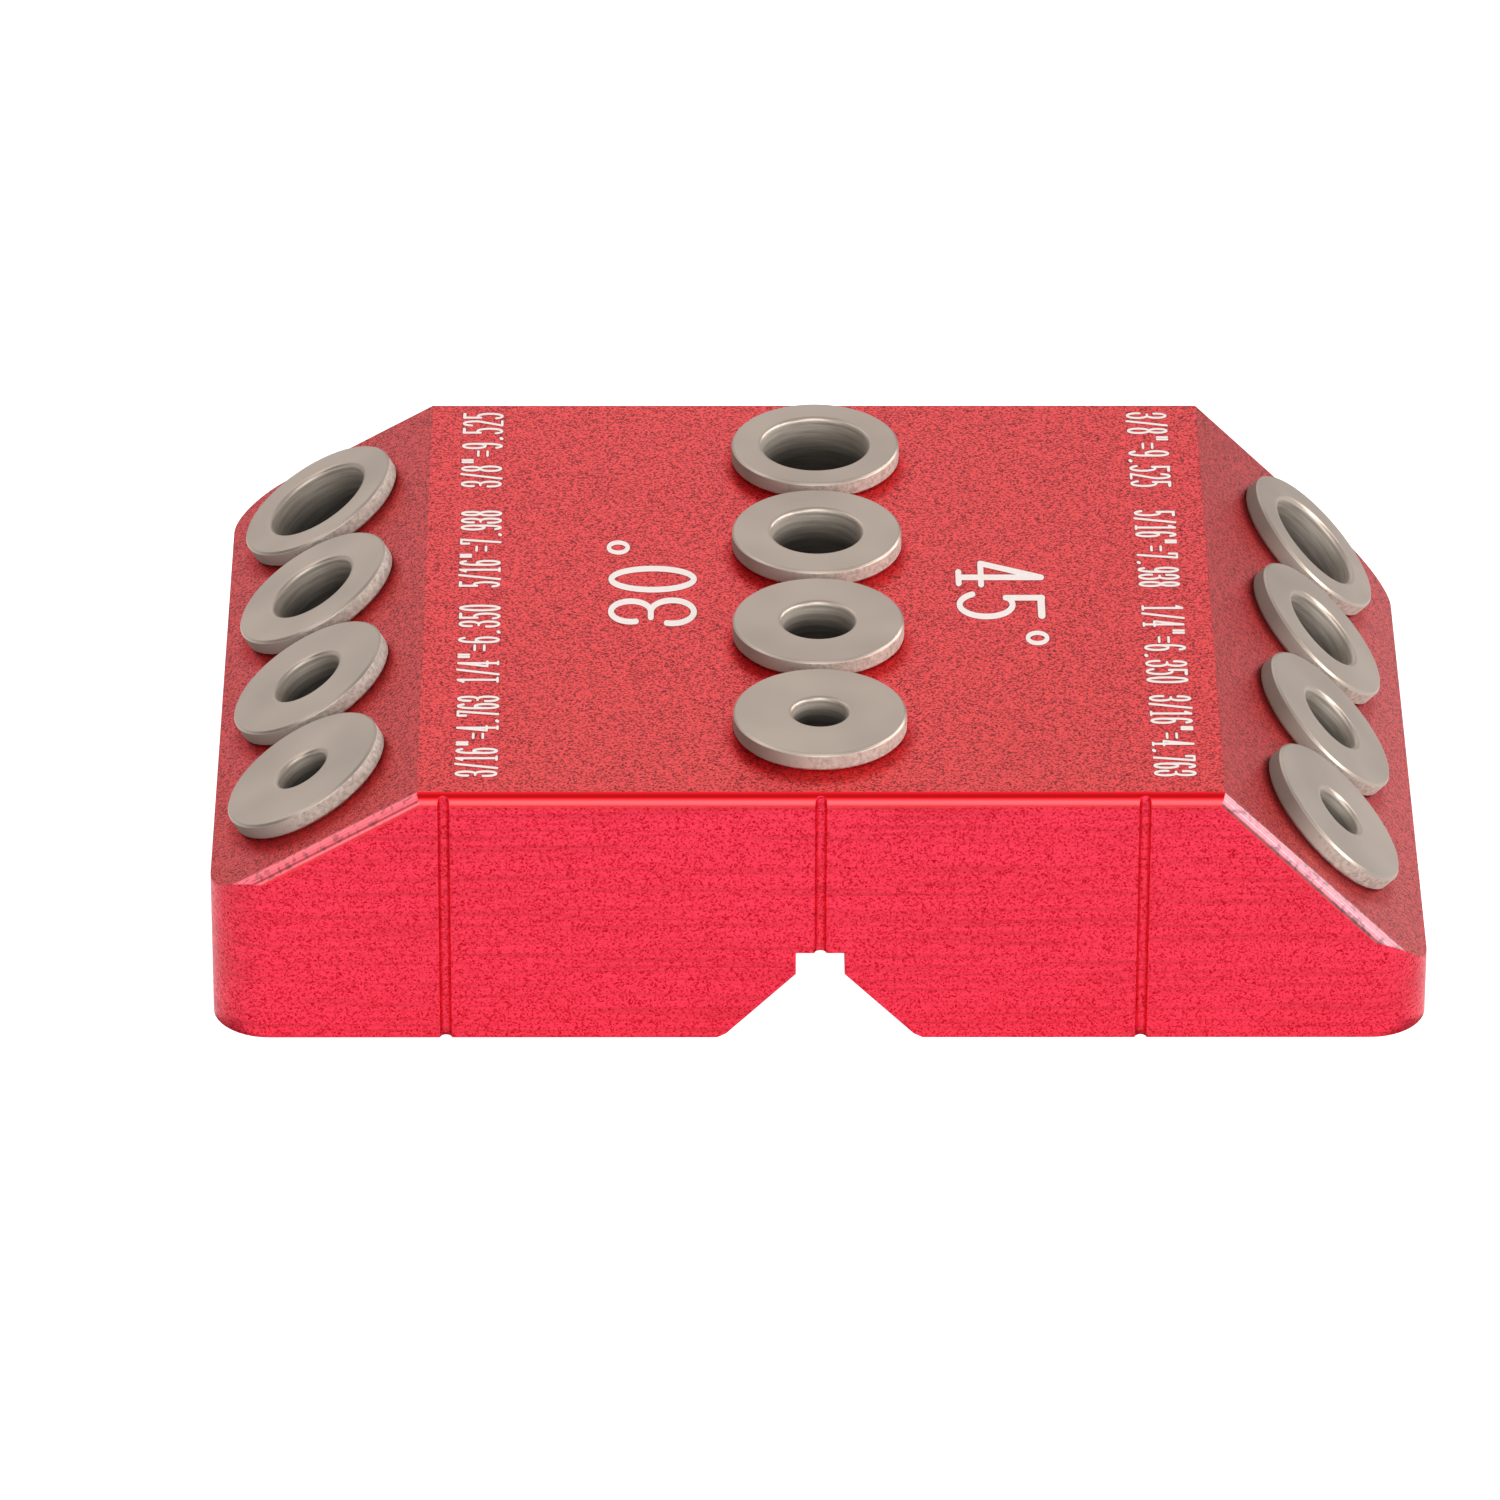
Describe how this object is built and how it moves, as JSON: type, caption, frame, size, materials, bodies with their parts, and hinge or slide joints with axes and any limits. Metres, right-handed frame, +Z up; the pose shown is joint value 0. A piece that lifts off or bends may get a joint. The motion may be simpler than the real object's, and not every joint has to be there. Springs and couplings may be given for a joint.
{
  "type": "angle drill guide",
  "caption": "Low aluminium block with a flat top and two sloped ends, each carrying a row of flanged steel drill bushings, and a V groove along its underside.",
  "frame": {"origin": "under the middle of the block, on the plane of its base", "axes": "+X from the 30 degree slope to the 45 degree slope, +Y from the front face to the back face, +Z up"},
  "size_m": [0.105, 0.07, 0.0256],
  "materials": {
    "anodised_aluminium": "satin red anodised",
    "hardened_steel": "satin ground"
  },
  "bodies": {
    "root": {"guide_block": "anodised_aluminium", "bushing_30deg_3_8in": "hardened_steel", "bushing_30deg_5_16in": "hardened_steel", "bushing_30deg_1_4in": "hardened_steel", "bushing_30deg_3_16in": "hardened_steel", "bushing_90deg_3_8in": "hardened_steel", "bushing_90deg_5_16in": "hardened_steel", "bushing_90deg_1_4in": "hardened_steel", "bushing_90deg_3_16in": "hardened_steel", "bushing_45deg_3_8in": "hardened_steel", "bushing_45deg_5_16in": "hardened_steel", "bushing_45deg_1_4in": "hardened_steel", "bushing_45deg_3_16in": "hardened_steel"}
  },
  "joints": []
}
